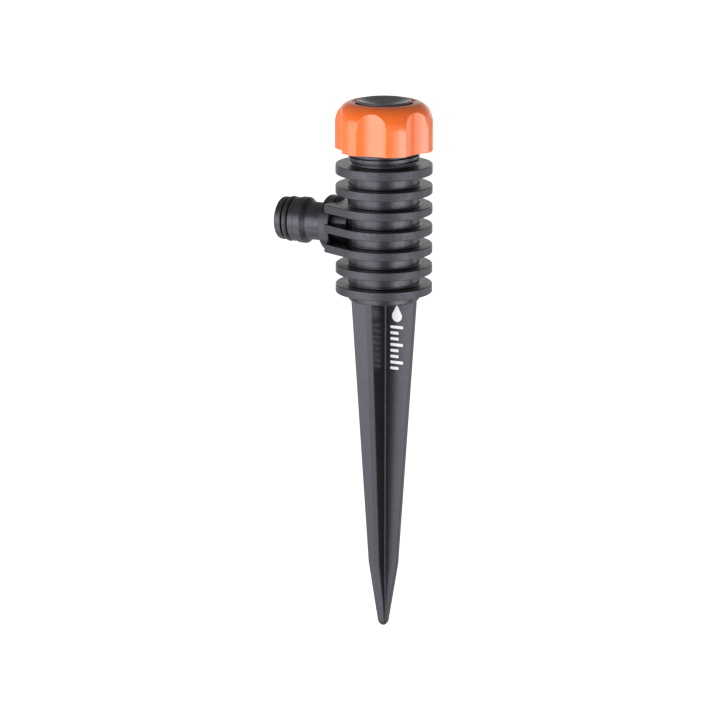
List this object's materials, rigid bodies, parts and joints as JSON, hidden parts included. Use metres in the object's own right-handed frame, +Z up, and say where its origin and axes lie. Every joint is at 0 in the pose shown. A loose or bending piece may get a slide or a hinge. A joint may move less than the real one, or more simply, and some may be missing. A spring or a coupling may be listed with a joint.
{
  "type": "spike sprinkler",
  "caption": "Garden sprinkler on a ground spike: finned upright body, click-coupling nipple on its side, threaded ring nut and a spinning deflector disc on top.",
  "frame": {"origin": "on the body's vertical axis, at the underside of the spike's collar, which is ground level when the spike is pushed fully in", "axes": "+Z up along the body, -X out of the inlet nipple"},
  "size_m": [0.0604, 0.036, 0.2023],
  "materials": {
    "black_plastic": "black moulded plastic with a fine satin grain",
    "orange_plastic": "satin orange moulded plastic",
    "disc_plastic": "smooth black moulded plastic",
    "inner_plastic": "natural moulded plastic",
    "bush_plastic": "bearing plastic",
    "steel": "stainless steel",
    "rubber": "smooth black rubber"
  },
  "bodies": {
    "root": {"body_housing": "black_plastic", "spike": "black_plastic", "inlet_nipple": "black_plastic", "nipple_o_ring": "rubber", "socket_o_ring": "rubber", "base_o_ring": "rubber", "swirl_ring": "inner_plastic", "lower_thrust_washer": "steel", "lower_bush": "bush_plastic", "upper_guide": "inner_plastic", "upper_bush": "bush_plastic", "guide_snap_ring": "steel"},
    "rotor": {"rotor_shaft": "steel", "turbine_wheel": "inner_plastic", "deflector_disc": "disc_plastic", "wheel_clip": "steel", "shaft_clip": "steel", "upper_thrust_washer": "steel"},
    "nut_slide": {"nut_seal_ring": "rubber"},
    "nut": {"ring_nut": "orange_plastic"}
  },
  "joints": [
    {"name": "rotor_spin", "type": "hinge", "parent": "root", "child": "rotor", "pos_m": [0, 0, 0.0165], "axis": [0, 0, 1], "continuous": true},
    {"name": "nut_lift", "type": "slide", "parent": "root", "child": "nut_slide", "axis": [0, 0, 1], "range_m": [-0.00235, 0.0019]},
    {"name": "nut_turn", "type": "hinge", "parent": "nut_slide", "child": "nut", "pos_m": [0, 0, 0.0566], "axis": [0, 0, 1], "range_deg": [-450, 360]}
  ],
  "couplings": [
    {"joint": "nut_lift", "follows": "nut_turn", "m_per_rad": 0.00028871}
  ]
}
